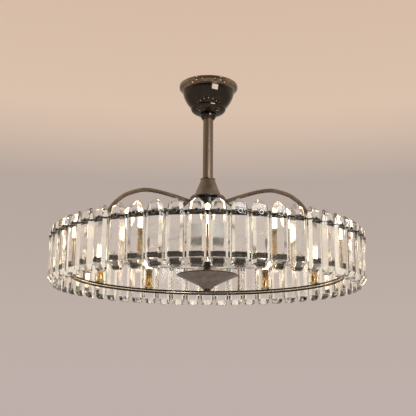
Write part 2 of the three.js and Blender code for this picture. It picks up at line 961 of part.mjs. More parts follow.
addPiece("lamp_ring", lampRing(), "gunmetal");
const sleeveGeometry = candleSleeve();
const bulbGeometry = bulb();
for (let lamp = 0; lamp < lampCount; lamp++) {
  const place = new THREE.Group();
  place.rotation.z = lampAzimuth(lamp);
  fan.add(place);
  const label = String(lamp + 1).padStart(2, "0");
  addPiece(`candle_sleeve_${label}`, sleeveGeometry.clone(), "brass", 0, place).position.x = lampRingRadius;
  addPiece(`bulb_${label}`, bulbGeometry.clone(), "lamp", 0, place).position.x = lampRingRadius;
}

addPiece("motor_shaft", motorShaft(), "steel");
addPiece("stator", stator(), "copper");
addPiece("dish", dish(), "gunmetal");
addPiece("dish_cover", dishCover(), "gunmetal");
addPiece("finial", finial(), "gunmetal");

// The rotor: everything that turns about the shaft
const rotor = new THREE.Group();
fan.add(rotor);
addPiece("motor_housing", motorHousing(), "nickel", 0, rotor);
addPiece("magnet_ring", magnetRing(), "magnet", 0, rotor);
addPiece("bearing_upper", bearing(housingTop), "steel", 0, rotor);
addPiece("bearing_lower", bearing(carrierFoot + bearingHeight), "steel", 0, rotor);
addPiece("blade_carrier", bladeCarrier(), "nickel", 0, rotor);
const bladeGeometry = blade();
for (let number = 0; number < bladeCount; number++) {
  const turn = fromFront(bladeFirstAzimuth + (number * 360) / bladeCount);
  addPiece(`blade_${number + 1}`, bladeGeometry.clone(), "acrylic", turn, rotor);
}

export default fan;
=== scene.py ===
# Chandelier ceiling fan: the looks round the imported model. Sizes are in millimetres and are turned
# into metres where a mesh is made. +Z is up, the ceiling is at Z = 0 and the front faces -Y.
import math
import random

import bmesh
import bpy
from mathutils import Matrix, Vector


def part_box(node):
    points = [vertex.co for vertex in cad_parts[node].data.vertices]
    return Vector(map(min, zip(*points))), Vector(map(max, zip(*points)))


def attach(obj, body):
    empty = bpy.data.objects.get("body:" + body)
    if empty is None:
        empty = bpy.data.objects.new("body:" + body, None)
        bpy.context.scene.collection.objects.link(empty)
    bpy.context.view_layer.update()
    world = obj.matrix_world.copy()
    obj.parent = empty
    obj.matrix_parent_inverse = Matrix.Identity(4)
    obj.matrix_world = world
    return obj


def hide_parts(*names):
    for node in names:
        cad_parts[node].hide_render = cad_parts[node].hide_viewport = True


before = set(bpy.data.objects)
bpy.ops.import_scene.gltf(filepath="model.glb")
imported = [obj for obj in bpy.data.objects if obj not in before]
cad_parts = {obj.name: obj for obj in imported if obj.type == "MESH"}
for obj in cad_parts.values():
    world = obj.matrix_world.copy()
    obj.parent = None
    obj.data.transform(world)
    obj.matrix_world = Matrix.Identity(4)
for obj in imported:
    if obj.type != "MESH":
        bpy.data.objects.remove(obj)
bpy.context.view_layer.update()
random.seed(7)

MM = 0.001

# How often the pieces repeat, and the angles of the first ones from the front, in degrees
ARMS = 5
CRYSTALS_PER_ARM = 11
CRYSTALS = ARMS * CRYSTALS_PER_ARM
LAMPS = 12
UPRIGHTS = 4
BLADES = 4
ARM_FIRST = 36
UPRIGHT_FIRST = -16
BLADE_FIRST = 45


def top(node):
    """The highest point of a CAD node, in millimetres."""
    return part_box(node)[1].z / MM


def foot(node):
    """The lowest point of a CAD node, in millimetres."""
    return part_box(node)[0].z / MM


def reach(node):
    """How far a CAD node on the axis reaches along X, in millimetres."""
    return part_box(node)[1].x / MM


def from_front(degrees):
    """The angle from +X of a place counted from the front (-Y) towards +X."""
    return math.radians(degrees) - math.pi / 2


# Materials

BUMP_DEPTH = 0.2 * MM


def new_material(name):
    material = bpy.data.materials.new(name)
    material.use_nodes = True
    return material, material.node_tree, material.node_tree.nodes["Principled BSDF"]


def noise(tree, scale, stretch=(1, 1, 1), detail=4.0):
    """Noise in object space; stretch makes it longer along an axis where it is small."""
    coords = tree.nodes.new("ShaderNodeTexCoord")
    mapping = tree.nodes.new("ShaderNodeMapping")
    mapping.inputs["Scale"].default_value = stretch
    texture = tree.nodes.new("ShaderNodeTexNoise")
    texture.inputs["Scale"].default_value = scale
    texture.inputs["Detail"].default_value = detail
    tree.links.new(coords.outputs["Object"], mapping.inputs["Vector"])
    tree.links.new(mapping.outputs["Vector"], texture.inputs["Vector"])
    return texture.outputs["Fac"]


def ramp(tree, factor, low, high, start=0.3, end=0.7):
    """Turns a factor into a colour, or into a grey value for one number."""
    node = tree.nodes.new("ShaderNodeValToRGB")
    node.color_ramp.elements[0].position = start
    node.color_ramp.elements[1].position = end
    for element, value in zip(node.color_ramp.elements, (low, high)):
        colour = value if isinstance(value, tuple) else (value, value, value)
        element.color = (*colour, 1)
    tree.links.new(factor, node.inputs["Fac"])
    return node.outputs["Color"]


def add_bump(tree, shader, height, strength):
    bump = tree.nodes.new("ShaderNodeBump")
    bump.inputs["Strength"].default_value = strength
    bump.inputs["Distance"].default_value = BUMP_DEPTH
    tree.links.new(height, bump.inputs["Height"])
    tree.links.new(bump.outputs["Normal"], shader.inputs["Normal"])


def metal(name, low, high, rough_low, rough_high, scale=60, stretch=(1, 1, 1), bump=0.05):
    """A plated or bare metal whose colour and polish vary a little over its surface."""
    material, tree, shader = new_material(name)
    shader.inputs["Metallic"].default_value = 1
    cloud = noise(tree, scale, stretch)
    grain = noise(tree, scale * 14, stretch, 2.0)
    tree.links.new(ramp(tree, cloud, low, high), shader.inputs["Base Color"])
    tree.links.new(ramp(tree, grain, rough_low, rough_high), shader.inputs["Roughness"])
    add_bump(tree, shader, grain, bump)
    return material


def painted(name, low, high, rough_low, rough_high, scale=80, bump=0.12):
    """A satin coat over metal, with the fine orange peel that sprayed paint has."""
    material, tree, shader = new_material(name)
    shader.inputs["Coat Weight"].default_value = 0.25
    shader.inputs["Coat Roughness"].default_value = 0.12
    cloud = noise(tree, scale)
    peel = noise(tree, scale * 10, detail=2.0)
    tree.links.new(ramp(tree, cloud, low, high), shader.inputs["Base Color"])
    tree.links.new(ramp(tree, peel, rough_low, rough_high), shader.inputs["Roughness"])
    add_bump(tree, shader, peel, bump)
    return material


def clear(name, low, high, ior, rough_low, rough_high, scale, bump, alpha=1.0):
    """A clear body with the faintest haze and ripple. An alpha under 1 thins it further."""
    material, tree, shader = new_material(name)
    shader.inputs["Transmission Weight"].default_value = 1
    shader.inputs["IOR"].default_value = ior
    shader.inputs["Alpha"].default_value = alpha
    cloud = noise(tree, scale)
    ripple = noise(tree, scale * 4, detail=2.0)
    tree.links.new(ramp(tree, cloud, low, high), shader.inputs["Base Color"])
    tree.links.new(ramp(tree, ripple, rough_low, rough_high), shader.inputs["Roughness"])
    add_bump(tree, shader, ripple, bump)
    return material


def lit(name, edge, middle, strength):
    """A lit bulb: white in the middle, warmer towards the edge of its glass."""
    material, tree, shader = new_material(name)
    facing = tree.nodes.new("ShaderNodeLayerWeight")
    facing.inputs["Blend"].default_value = 0.45
    glow = ramp(tree, facing.outputs["Facing"], middle, edge, 0.1, 0.85)
    frost = noise(tree, 300, detail=2.0)
    tree.links.new(glow, shader.inputs["Emission Color"])
    tree.links.new(ramp(tree, frost, 0.15, 0.3), shader.inputs["Roughness"])
    shader.inputs["Emission Strength"].default_value = strength
    return material


GUNMETAL = metal("dark_pearl_plating", (0.17, 0.135, 0.11), (0.25, 0.2, 0.165), 0.12, 0.22)
ROD_METAL = metal(
    "drawn_dark_plating", (0.25, 0.19, 0.14), (0.36, 0.275, 0.2), 0.42, 0.52, 40, (3, 3, 0.08), 0.1
)
# The plating of the canopy's bowl, collar and finial, darkened below its own colour as painted
# shade: it stands in for the dark floor and room that the bowl shows
SHADE_DARKENED_PLATING = metal("pearl_plating_darkened_as_shade", (0.07, 0.057, 0.046), (0.095, 0.077, 0.063), 0.04, 0.08)
# The canopy's rim band: the same plating made lighter and warmer, as painted reflection of the
# bright walls that the upright band shows
REFLECTION_LIT_RIM_PLATING = metal("warm_pearl_plating_lightened_as_reflection", (0.26, 0.19, 0.135), (0.38, 0.285, 0.2), 0.05, 0.12, 90)
# The dish: the same plating made paler, as painted reflection of the lit room below that its
# underside shows
REFLECTION_LIT_DISH_PLATING = metal("pale_pearl_plating_lightened_as_reflection", (0.25, 0.2, 0.17), (0.38, 0.31, 0.27), 0.14, 0.32, 60)
RING_METAL = metal("black_pearl_plating", (0.035, 0.03, 0.028), (0.06, 0.05, 0.045), 0.12, 0.22)
NICKEL = painted("satin_nickel_paint", (0.5, 0.48, 0.45), (0.58, 0.56, 0.52), 0.35, 0.48)
BLACK = painted("satin_black_paint", (0.012, 0.012, 0.013), (0.024, 0.023, 0.024), 0.3, 0.42)
STEEL = metal("zinc_plated_steel", (0.5, 0.5, 0.5), (0.62, 0.62, 0.6), 0.22, 0.38, 50, bump=0.12)
# The candle sleeves: brass darkened below its own colour, as painted shade for the dark middle that
# each sleeve shows of the room ahead
SHADE_DARKENED_BRASS = metal("brass_darkened_as_shade", (0.34, 0.23, 0.11), (0.5, 0.36, 0.18), 0.06, 0.13, 90)
# The strip inside the lamp ring: a pale gold whose paleness is painted reflection of the lamplit
# crystals in front
REFLECTION_PALE_GOLD = metal("pale_gold_reflection_inlay", (0.88, 0.8, 0.64), (0.96, 0.9, 0.76), 0.12, 0.22, 90)
BRASS = metal("pale_polished_brass", (0.62, 0.48, 0.26), (0.82, 0.68, 0.42), 0.06, 0.13, 90)
COPPER = painted("lacquered_winding", (0.3, 0.12, 0.05), (0.5, 0.24, 0.11), 0.35, 0.5, 120)
FERRITE = painted("bare_ferrite", (0.05, 0.05, 0.055), (0.09, 0.09, 0.1), 0.55, 0.7)
CRYSTAL = clear("cut_crystal", (0.98, 0.975, 0.985), (1.0, 0.99, 0.975), 1.5, 0.05, 0.13, 30, 0.01)
ACRYLIC = clear(
    "clear_acrylic", (0.95, 0.97, 0.98), (0.99, 0.995, 1.0), 1.49, 0.01, 0.05, 12, 0.02, 0.25
)
BULB_GLASS = lit("lit_bulb_glass", (1.0, 0.6, 0.28), (1.0, 0.8, 0.52), 6)


# Meshes


def add_object(name, builder, material, sharp=32, bevel=0.0, smooth=True):
    """Turns a bmesh in millimetres into an object, shaded smooth up to the sharp angle."""
    bmesh.ops.recalc_face_normals(builder, faces=builder.faces)
    mesh = bpy.data.meshes.new(name)
    builder.transform(Matrix.Scale(MM, 4))
    builder.to_mesh(mesh)
    builder.free()
    mesh.materials.append(material)
    if smooth:
        mesh.shade_smooth()
        mesh.set_sharp_from_angle(angle=math.radians(sharp))
    piece = bpy.data.objects.new(name, mesh)
    bpy.context.scene.collection.objects.link(piece)
    if bevel:
        edge = piece.modifiers.new("edge", "BEVEL")
        edge.width = bevel * MM
        edge.segments = 2
        edge.limit_method = "ANGLE"
        edge.angle_limit = math.radians(sharp)
    return piece


def sweep_rings(builder, rings):
    """Joins rings of points with quads, and closes the ends."""
    made = [[builder.verts.new(point) for point in ring] for ring in rings]
    for near, far in zip(made, made[1:]):
        for i in range(len(near)):
            j = (i + 1) % len(near)
            builder.faces.new((near[i], near[j], far[j], far[i]))
    builder.faces.new(list(reversed(made[0])))
    builder.faces.new(made[-1])


def add_turned(builder, profile, segments, centre=(0, 0)):
    """Turns a closed profile of (radius, height) round a vertical axis at centre."""
    on_axis = profile[0][0] == 0 and profile[-1][0] == 0
    poles = {}
    columns = []
    for step in range(segments):
        angle = 2 * math.pi * step / segments
        column = []
        for index, (radius, height) in enumerate(profile):
            if radius == 0:
                if index not in poles:
                    poles[index] = builder.verts.new((*centre, height))
                column.append(poles[index])
            else:
                x = centre[0] + radius * math.cos(angle)
                y = centre[1] + radius * math.sin(angle)
                column.append(builder.verts.new((x, y, height)))
        columns.append(column)
    last = len(profile) - 1 if on_axis else len(profile)
    for step in range(segments):
        here, there = columns[step], columns[(step + 1) % segments]
        for i in range(last):
            j = (i + 1) % len(profile)
            corners = [here[i], there[i], there[j], here[j]]
            corners = [v for k, v in enumerate(corners) if v not in corners[:k]]
            if len(corners) > 2:
                builder.faces.new(corners)


def turned(name, profile, material, segments=96, sharp=32):
    """An object made of one profile turned round the axis of the fitting."""
    builder = bmesh.new()
    add_turned(builder, profile, segments)
    return add_object(name, builder, material, sharp)


def bowed(start, end, pull, steps):
    """Points on a quadratic curve between two profile points, ends included. pull says where its
    middle point lies, as shares of the way along each axis."""
    middle = [start[i] + (end[i] - start[i]) * pull[i] for i in (0, 1)]
    points = []
    for step in range(steps + 1):
        t = step / steps
        near, between, far = (1 - t) ** 2, 2 * t * (1 - t), t * t
        points.append(tuple(near * start[i] + between * middle[i] + far * end[i] for i in (0, 1)))
    return points


def rounded_line(points, steps):
    """A Catmull-Rom line through the points, with some steps between each two."""
    points = [Vector(point) for point in points]
    line = []
    for i in range(len(points) - 1):
        before = points[max(i - 1, 0)]
        here, there = points[i], points[i + 1]
        after = points[min(i + 2, len(points) - 1)]
        for step in range(steps):
            t = step / steps
            linear = (there - before) * t
            square = (2 * before - 5 * here + 4 * there - after) * t * t
            cubic = (3 * here - before - 3 * there + after) * t ** 3
            line.append(0.5 * (2 * here + linear + square + cubic))
    line.append(points[-1])
    return line


def pairs(points):
    """Vectors as plain pairs, as a profile has them."""
    return [tuple(point) for point in points]


def shifted(profile, out, up):
    """A profile moved outwards and upwards."""
    return [(radius + out, height + up) for radius, height in profile]


def place_round(piece, count, first, name, body, slot, node):
    """Sets the piece and its copies at evenly spaced angles, each in the place of a CAD node. Their
    names are the given ones with a number from 1."""
    for number in range(count):
        copy = piece
        if number:
            copy = bpy.data.objects.new(f"{name}_{number + 1}", piece.data)
            bpy.context.scene.collection.objects.link(copy)
        copy.rotation_euler.z = from_front(first + number * 360 / count)
        finish_piece(copy, body, slot, f"{node}_{number + 1}")


def finish_piece(piece, body, slot, *nodes):
    """Puts a piece on its body and hides the CAD nodes that it stands for. Its slot is not used."""
    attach(piece, body)
    if nodes:
        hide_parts(*nodes)


# Canopy and rod

ROD = reach("downrod")
# The bore of a ring that slides on the rod or stands round it
ROD_BORE = ROD + 0.15
CANOPY_WALL = 1.6
CANOPY_SKIN = 0.5
CANOPY_LEDGE_STEP = 8.7
CANOPY_LEDGE_HEIGHT = -18.2
CANOPY_NECK = 24
# The groove's radius as a share of the rim's, how deep it is cut, and how far down its upper edge,
# bottom and lower edge are, as shares of the canopy's depth
GROOVE_RADIUS_SHARE = 0.605
GROOVE_DEPTH = 1.4
GROOVE_SHARES = (0.76, 0.775, 0.79)
BOWL_PULL = (0.19, 0.55)
CAP_PULL = (0.03, 0.76)


def canopy_line(inset):
    """The bowl and the cap of the canopy, from the ledge down to the neck."""
    rim = reach("canopy")
    depth = -foot("canopy")
    groove = rim * GROOVE_RADIUS_SHARE - inset
    ledge = (rim - CANOPY_LEDGE_STEP - inset, CANOPY_LEDGE_HEIGHT + inset)
    upper, lower = (-depth * GROOVE_SHARES[edge] + inset for edge in (0, 2))
    bowl = bowed(ledge, (groove, upper), BOWL_PULL, 20)
    cap = bowed((groove, lower), (CANOPY_NECK - inset, -depth + inset), CAP_PULL, 12)
    return bowl, cap


def make_canopy():
    rim = reach("canopy")
    depth = -foot("canopy")
    bowl, cap = canopy_line(0)
    inner_bowl, inner_cap = canopy_line(CANOPY_WALL)
    groove = (bowl[-1][0] - GROOVE_DEPTH, -depth * GROOVE_SHARES[1])
    band = [
        (rim - 0.6, 0),
        (rim, -0.8),
        (rim, -2),
        (rim - 0.9, -2.9),
        (rim - 0.9, -6.7),
        (rim, -7.4),
        (rim - 0.1, -8.2),
        *bowed((rim - 0.9, -9.1), (rim - 7.1, -14.6), (0.45, 0.55), 6),
        (rim - 7.7, -15),
        (rim - 7.8, -15.7),
        (rim - 7.4, -16.2),
        (rim - 7.6, -17.2),
        (rim - 8.5, -17.8),
    ]
    bore = ROD + 0.3
    outside = [*shifted(band, -CANOPY_SKIN, 0), *bowl, groove, *cap, (bore, -depth)]
    inside = [(rim - 2.6, 0), (rim - 2.6, CANOPY_WALL - 8.2), *inner_bowl, *inner_cap]
    inside.append((bore, -depth + CANOPY_WALL))
    # The shell's plating is darkened as painted shade for the dark room that the bowl shows
    piece = turned("canopy_shell", [*reversed(inside), *outside], SHADE_DARKENED_PLATING, 144)
    finish_piece(piece, "canopy_set", "gunmetal", "canopy")
    # The rim band's skin is lighter and warmer than the shell, as painted reflection of the bright
    # walls
    strip = [*band, *reversed(shifted(band, -CANOPY_SKIN - 0.2, 0))]
    piece = turned("canopy_rim", strip, REFLECTION_LIT_RIM_PLATING, 144)
    finish_piece(piece, "canopy_set", "gunmetal")


def make_collar():
    high, low = top("lock_collar"), foot("lock_collar")
    wide = reach("lock_collar")
    profile = [
        (ROD_BORE, high),
        (wide - 0.6, high),
        (wide, high - 0.7),
        (wide, high - 1.8),
        (wide - 0.9, high - 2.4),
        (wide - 0.9, high - 3.2),
        (wide - 0.1, high - 3.8),
        (wide - 0.4, high - 7),
        (wide - 5, low + 0.7),
        (wide - 5.7, low),
        (ROD_BORE, low),
    ]
    piece = turned("lock_collar_ring", profile, SHADE_DARKENED_PLATING, 72)
    finish_piece(piece, "canopy_set", "gunmetal", "lock_collar")


def make_rod():
    high, low = top("downrod"), foot("downrod")
    profile = [(ROD - 2, high), (ROD - 0.4, high), (ROD, high - 0.6), (ROD, low), (ROD - 2, low)]
    piece = turned("downrod_tube", profile, ROD_METAL, 96)
    finish_piece(piece, "fixture", "gunmetal", "downrod")


def make_cone():
    high, low = top("coupling_cover"), foot("coupling_cover")
    wide = reach("coupling_cover")
    lip = 20
    waist = lip - 1.2
    wall = 1.3
    flare = bowed((waist, high - 2.5), (wide, low), (0.46, 0.54), 20)
    profile = [
        (ROD_BORE, high),
        (lip - 0.7, high),
        (lip, high - 0.6),
        (lip, high - 1.9),
        (lip - 0.6, high - 2.5),
        *flare,
        *reversed(shifted(flare, -wall, 0)),
        (waist - wall, high - wall),
        (ROD_BORE, high - wall),
    ]
    piece = turned("coupling_cover_cone", profile, GUNMETAL, 96)
    finish_piece(piece, "fixture", "gunmetal", "coupling_cover")


# Arms

ARM_TUBE = 5
ARM_ROOT = 14
ARM_END = 373.7
# Where the dip by the hub ends: distance from the axis, and fall below the root. The arm leaves the
# hub level for a share of that way, and halfway down the dip it has fallen by the last number
ARM_BEND = (80, 18)
ARM_LEVEL_SHARE = 0.6
ARM_DIP_FALL = 7.5
# From the bend to the foot: shares of the way out, and shares of the way down at each
ARM_RUN_SHARES = [0.17, 0.41, 0.58, 0.7, 0.8, 0.885, 0.945, 0.982, 1]
ARM_FALL_SHARES = [0.002, 0.02, 0.085, 0.205, 0.345, 0.525, 0.7, 0.86, 1]


def arm_line(root_height, end_height):
    """The middle of an arm, as (distance from the axis, height)."""
    bend = (ARM_BEND[0], root_height - ARM_BEND[1])
    level = ARM_ROOT + (bend[0] - ARM_ROOT) * ARM_LEVEL_SHARE
    points = [
        (ARM_ROOT, root_height),
        ((ARM_ROOT + level) / 2, root_height),
        (level, root_height),
        ((level + bend[0]) / 2, root_height - ARM_DIP_FALL),
        bend,
    ]
    for run, fall in zip(ARM_RUN_SHARES, ARM_FALL_SHARES):
        out = bend[0] + (ARM_END - bend[0]) * run
        points.append((out, bend[1] + (end_height - bend[1]) * fall))
    return rounded_line(points, 6)


def tube_rings(line, radius, sides):
    """Rings round a line in the XZ plane."""
    rings = []
    for i, point in enumerate(line):
        ahead = line[min(i + 1, len(line) - 1)] - line[max(i - 1, 0)]
        ahead.normalize()
        across = Vector((-ahead.y, ahead.x))
        ring = []
        for side in range(sides):
            angle = 2 * math.pi * side / sides
            out = point + across * radius * math.cos(angle)
            ring.append((out.x, radius * math.sin(angle), out.y))
        rings.append(ring)
    return rings


def make_arms():
    sides = 20
    root_height = top("arm_hub") - 3 - ARM_TUBE
    builder = bmesh.new()
    line = arm_line(root_height, foot("arm_1") + 0.02)
    sweep_rings(builder, tube_rings(line, ARM_TUBE, sides))
    # The ferrule at the hub, in two steps: start, length and radius. Its ends are drawn in a little
    draw = 0.9
    for start, length, wide in ((24.2, 5, 5.55), (29.2, 1.6, 5.3)):
        ferrule = [Vector((start + step * length, root_height)) for step in (0, 0.12, 0.88, 1)]
        rings = tube_rings(ferrule, wide, sides)
        for end in (0, -1):
            rings[end] = [
                (x, y * draw, root_height + (z - root_height) * draw) for x, y, z in rings[end]
            ]
        sweep_rings(builder, rings)
    piece = add_object("gooseneck_arm_1", builder, GUNMETAL, 40)
    place_round(piece, ARMS, ARM_FIRST, "gooseneck_arm", "fixture", "gunmetal", "arm")


def make_hub():
    high, low = top("arm_hub"), foot("arm_hub")
    wide = reach("arm_hub")
    bore = 8.3
    body = 24
    profile = [
        (bore, low),
        (body - 2, low),
        (body, low + 1.6),
        (body, low + 3.2),
        (body - 0.8, low + 3.8),
        (body - 0.8, low + 4.8),
        (body, low + 5.4),
        (body, high - 3.4),
        (body + 1, high - 2.4),
        (wide - 0.6, high - 2.4),
        (wide, high - 1.8),
        (wide, high),
        (bore, high),
    ]
    piece = turned("arm_hub_body", profile, BLACK, 72)
    finish_piece(piece, "fixture", "black", "arm_hub")


# Crystals

HEAD_HEIGHT = 29
TAIL_LENGTH = 116
CRYSTAL_WIDTH = 41
CRYSTAL_DEPTH = 19
CRYSTAL_BACK = 379.2
CRYSTAL_FRONT = CRYSTAL_BACK + CRYSTAL_DEPTH - 0.2
# How sharp the long edges at the sides are: their flat as a share of half the depth
CRYSTAL_SIDE_FLAT = 0.16
CRYSTAL_BEVEL = 0.35
# How far a crystal hangs off true, in degrees
CRYSTAL_SWING = 0.3
CRYSTAL_TWIST = 1.2
RING_MIDDLE = (foot("crystal_ring") + top("crystal_ring")) / 2
RING_HALF = 5.5
RING_INNER = 373.2
RING_OUTER = 378
RING_SEGMENTS = CRYSTALS * 4

# Rows of a crystal from its head down: height over the ring's middle, the shares of the full width
# and depth, and the share of that width that the front panel takes
CRYSTAL_ROWS = [
    (HEAD_HEIGHT, 0.2, 0.3, 0.6),
    (HEAD_HEIGHT * 0.62, 0.73, 1, 0.56),
    (HEAD_HEIGHT * 0.2, 0.86, 1, 0.58),
    (-HEAD_HEIGHT * 0.2, 1, 1, 0.56),
    (-TAIL_LENGTH * 0.855, 1, 1, 0.56),
    (-TAIL_LENGTH * 0.91, 0.8, 0.765, 0.62),
    (-TAIL_LENGTH * 0.97, 0.76, 0.51, 0.62),
    (-TAIL_LENGTH, 0.5, 0.38, 0.66),
]


def crystal_rings():
    """The outline of a crystal at each of its rows, with the crystal's front towards +X."""
    rings = []
    for height, wide_share, deep_share, panel_share in CRYSTAL_ROWS:
        side = CRYSTAL_WIDTH / 2 * wide_share
        deep = (CRYSTAL_FRONT - CRYSTAL_BACK) / 2 * deep_share
        middle = CRYSTAL_BACK + deep
        panel = side * panel_share
        edge = deep * CRYSTAL_SIDE_FLAT
        corners = [
            (-deep, -panel), (-edge, -side), (edge, -side), (deep, -panel),
            (deep, panel), (edge, side), (-edge, side), (-deep, panel),
        ]
        rings.append([(middle + x, y, RING_MIDDLE + height) for x, y in corners])
    return rings


def random_turn(limit, axis):
    """A small turn about an axis, by up to a limit in degrees either way."""
    return Matrix.Rotation(math.radians(random.uniform(-limit, limit)), 4, axis)


def make_crystals():
    rings = crystal_rings()
    pitch = 360 / CRYSTALS
    pivot = Vector(((CRYSTAL_BACK + CRYSTAL_FRONT) / 2, 0, RING_MIDDLE))
    for bank in range(ARMS):
        builder = bmesh.new()
        for step in range(CRYSTALS_PER_ARM):
            place = step - (CRYSTALS_PER_ARM - 1) / 2
            turn = from_front(ARM_FIRST + bank * 360 / ARMS + place * pitch)
            swing = random_turn(CRYSTAL_SWING, "X")
            twist = random_turn(CRYSTAL_TWIST, "Z")
            own = Matrix.Translation(pivot) @ twist @ swing @ Matrix.Translation(-pivot)
            matrix = Matrix.Rotation(turn, 4, "Z") @ own
            sweep_rings(builder, [[matrix @ Vector(p) for p in ring] for ring in rings])
        piece = add_object(
            f"crystals_{bank + 1}", builder, CRYSTAL, sharp=12, bevel=CRYSTAL_BEVEL, smooth=False
        )
        finish_piece(piece, "fixture", "crystal", f"crystal_bank_{bank + 1}")


# The screw through a crystal and its washer, as (radius, distance from the fitting's axis)
SCREW_PROFILE = [
    (0, 377), (1.9, 377), (1.9, 398.5), (3.6, 398.5), (3.6, 399.1), (3.2, 399.9), (1.9, 400.4),
    (0, 400.5),
]
WASHER_PROFILE = [(2.2, 397.9), (4.6, 397.9), (4.8, 398.15), (4.6, 398.45), (2.2, 398.45)]


def add_reflection_strip(name, radius, low, high, material, slot):
    """A thin pale strip let into the inner face of a ring. Its pale colour is painted reflection of
    the bright room, crystals and lamplight that the inner face shows.
    """
    outer, inner = radius + 0.4, radius - 0.3
    profile = [
        (outer, low),
        (inner + 0.2, low),
        (inner, low + 0.3),
        (inner, high - 0.3),
        (inner + 0.2, high),
        (outer, high),
    ]
    strip = turned(name, profile, material, RING_SEGMENTS, sharp=60)
    finish_piece(strip, "fixture", slot)


def make_crystal_ring():
    high = RING_MIDDLE + RING_HALF
    low = RING_MIDDLE - RING_HALF
    edge = 0.8
    profile = [
        (RING_INNER, low + edge),
        (RING_INNER + edge, low),
        (RING_OUTER - edge, low),
        (RING_OUTER, low + edge),
        (RING_OUTER, high - edge),
        (RING_OUTER - edge, high),
        (RING_INNER + edge, high),
        (RING_INNER, high - edge),
    ]
    band = turned("crystal_ring_band", profile, RING_METAL, RING_SEGMENTS, sharp=60)
    finish_piece(band, "fixture", "gunmetal", "crystal_ring")
    # The pale strip on the ring's inner face is painted reflection of the bright room and crystals
    add_reflection_strip("crystal_ring_reflection_strip", RING_INNER, low + 0.6, high - 0.6, NICKEL, "satin_nickel")
    for name, outline, look, slot in (
        ("crystal_screws", SCREW_PROFILE, BLACK, "gunmetal"),
        ("crystal_washers", WASHER_PROFILE, STEEL, "steel"),
    ):
        builder = bmesh.new()
        for crystal in range(CRYSTALS):
            single = bmesh.new()
            add_turned(single, outline, 16)
            single.transform(Matrix.Rotation(math.pi / 2, 4, "Y"))
            turn = Matrix.Rotation(from_front(ARM_FIRST + crystal * 360 / CRYSTALS), 4, "Z")
            single.transform(turn @ Matrix.Translation((0, 0, RING_MIDDLE)))
            mesh = bpy.data.meshes.new("single")
            single.to_mesh(mesh)
            single.free()
            builder.from_mesh(mesh)
            bpy.data.meshes.remove(mesh)
        piece = add_object(name, builder, look, 40)
        finish_piece(piece, "fixture", slot)


# Lamps

CUP_RADIUS = 14
LAMP_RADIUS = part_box("lamp_ring")[1].y / MM - CUP_RADIUS
LAMP_LOW = foot("lamp_ring")
LAMP_HIGH = LAMP_LOW + 12
LAMP_RING_HALF = 2
# From the socket up: radius, and share of the height of the bulb
BULB_SHAPE = [
    (7.6, 0.05), (10.2, 0.14), (13.6, 0.27), (15.3, 0.42), (14.4, 0.58), (11, 0.74), (6.6, 0.88),
    (2.4, 0.97),
]


def ring_place(turn):
    """The place on the lamp ring at an angle."""
    return (LAMP_RADIUS * math.cos(turn), LAMP_RADIUS * math.sin(turn))


def make_lamp_ring():
    inner, outer = LAMP_RADIUS - LAMP_RING_HALF, LAMP_RADIUS + LAMP_RING_HALF
    profile = [
        (inner + 0.7, LAMP_LOW),
        (outer - 0.7, LAMP_LOW),
        (outer, LAMP_LOW + 0.7),
        (outer, LAMP_LOW + 2.6),
        (outer - 0.9, LAMP_LOW + 3.4),
        (outer - 0.9, LAMP_HIGH - 3.4),
        (outer, LAMP_HIGH - 2.6),
        (outer, LAMP_HIGH - 0.7),
        (outer - 0.7, LAMP_HIGH),
        (inner + 0.7, LAMP_HIGH),
        (inner, LAMP_HIGH - 0.7),
        (inner, LAMP_HIGH - 2.6),
        (inner + 0.9, LAMP_HIGH - 3.4),
        (inner + 0.9, LAMP_LOW + 3.4),
        (inner, LAMP_LOW + 2.6),
        (inner, LAMP_LOW + 0.7),
    ]
    band = turned("lamp_ring_band", profile, RING_METAL, 240, sharp=50)
    finish_piece(band, "fixture", "gunmetal", "lamp_ring")
    # The pale strip in the ring's inner recess is painted reflection of the lamplit crystals
    add_reflection_strip("lamp_ring_reflection_strip", inner + 0.9, LAMP_LOW + 4.6, LAMP_HIGH - 4.6, REFLECTION_PALE_GOLD, "brass")
    cups = bmesh.new()
    cup = [
        (0, LAMP_HIGH - 1),
        (8.2, LAMP_HIGH - 1),
        (8.8, LAMP_HIGH + 0.4),
        (12.6, LAMP_HIGH + 2.2),
        (13.9, LAMP_HIGH + 3.7),
        (13.6, LAMP_HIGH + 4.2),
        (12.6, LAMP_HIGH + 3.9),
        (0, LAMP_HIGH + 3.9),
    ]
    for lamp in range(LAMPS):
        add_turned(cups, cup, 36, ring_place(from_front(lamp * 360 / LAMPS)))
    piece = add_object("lamp_cups", cups, BRASS, 40)
    finish_piece(piece, "fixture", "brass")
    make_uprights()


def make_uprights():
    """The posts between the two rings, each with a lug that reaches out to the crystal ring."""
    post = [
        (0, LAMP_HIGH - 4),
        (3, LAMP_HIGH - 4),
        (3, LAMP_HIGH),
        (4.4, LAMP_HIGH + 0.2),
        (4.4, LAMP_HIGH + 2.2),
        (3, LAMP_HIGH + 2.6),
        (3, RING_MIDDLE - 5),
        (4.4, RING_MIDDLE - 4.4),
        (4.4, RING_MIDDLE + 2.4),
        (3.6, RING_MIDDLE + 3),
        (0, RING_MIDDLE + 3),
    ]
    section = [(-3, -2.6), (3, -2.6), (3.4, 0), (3, 2.6), (-3, 2.6), (-3.4, 0)]
    lug = [
        [Vector((distance, across, RING_MIDDLE + up)) for across, up in section]
        for distance in (LAMP_RADIUS + LAMP_RING_HALF, LAMP_RADIUS + 29.8)
    ]
    posts = bmesh.new()
    for upright in range(UPRIGHTS):
        turn = from_front(UPRIGHT_FIRST + upright * 360 / UPRIGHTS)
        add_turned(posts, post, 24, ring_place(turn))
        matrix = Matrix.Rotation(turn, 4, "Z")
        sweep_rings(posts, [[matrix @ point for point in ring] for ring in lug])
    piece = add_object("ring_uprights", posts, GUNMETAL, 40)
    finish_piece(piece, "fixture", "gunmetal")


